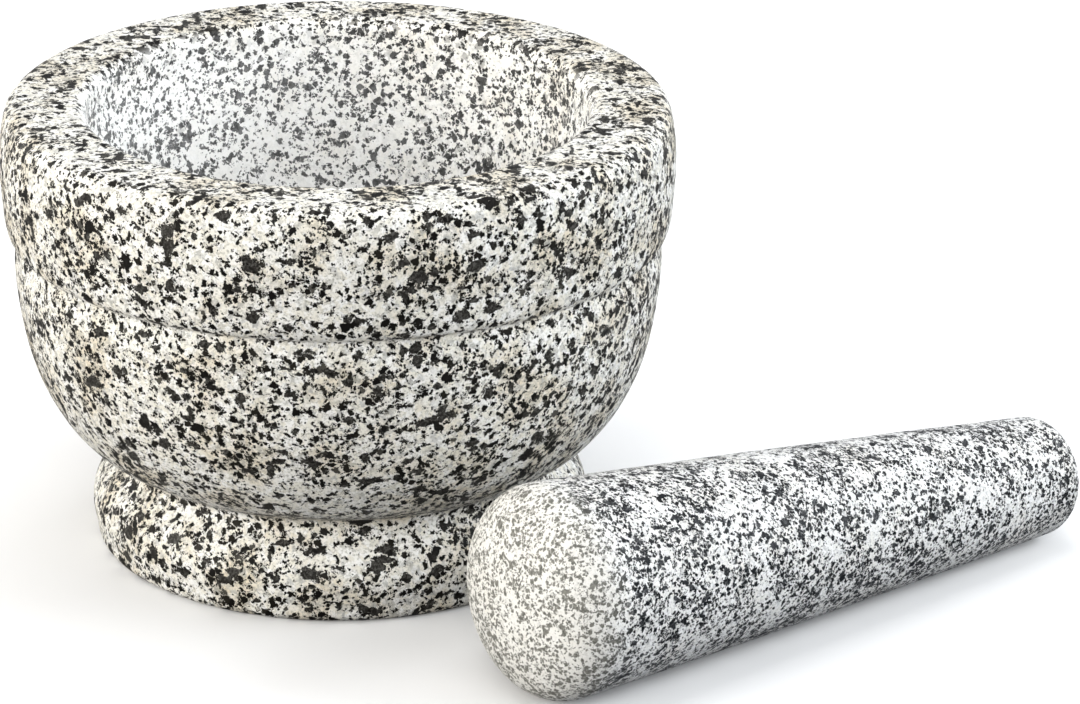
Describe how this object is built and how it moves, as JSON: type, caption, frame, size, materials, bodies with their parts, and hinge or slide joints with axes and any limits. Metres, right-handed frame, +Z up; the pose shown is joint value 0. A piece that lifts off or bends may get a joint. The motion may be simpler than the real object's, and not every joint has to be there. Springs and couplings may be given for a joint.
{
  "type": "mortar and pestle",
  "caption": "Turned granite mortar on a ring foot, with a raised band round its thick rim and a deep bowl, and its tapered granite pestle lying loose beside it.",
  "frame": {"origin": "centre of the mortar's foot, on the surface it stands on", "axes": "+Z up along the mortar's turning axis; the pestle lies on the same surface towards -Y and +X, its thick end nearest the mortar's -Y side and its thin end towards +X and +Y"},
  "size_m": [0.2419, 0.1861, 0.1024],
  "materials": {
    "mortar_granite": "satin, white and cream granite with black and grey flecks",
    "pestle_granite": "satin, white granite with fine black and grey-green flecks"
  },
  "bodies": {
    "mortar": {"mortar_bowl": "mortar_granite"},
    "pestle": {"pestle": "pestle_granite"}
  },
  "joints": [
    {"name": "pestle_lift", "type": "slide", "parent": "mortar", "child": "pestle", "axis": [0, 0, 1], "range_m": [0, 0.15]}
  ]
}
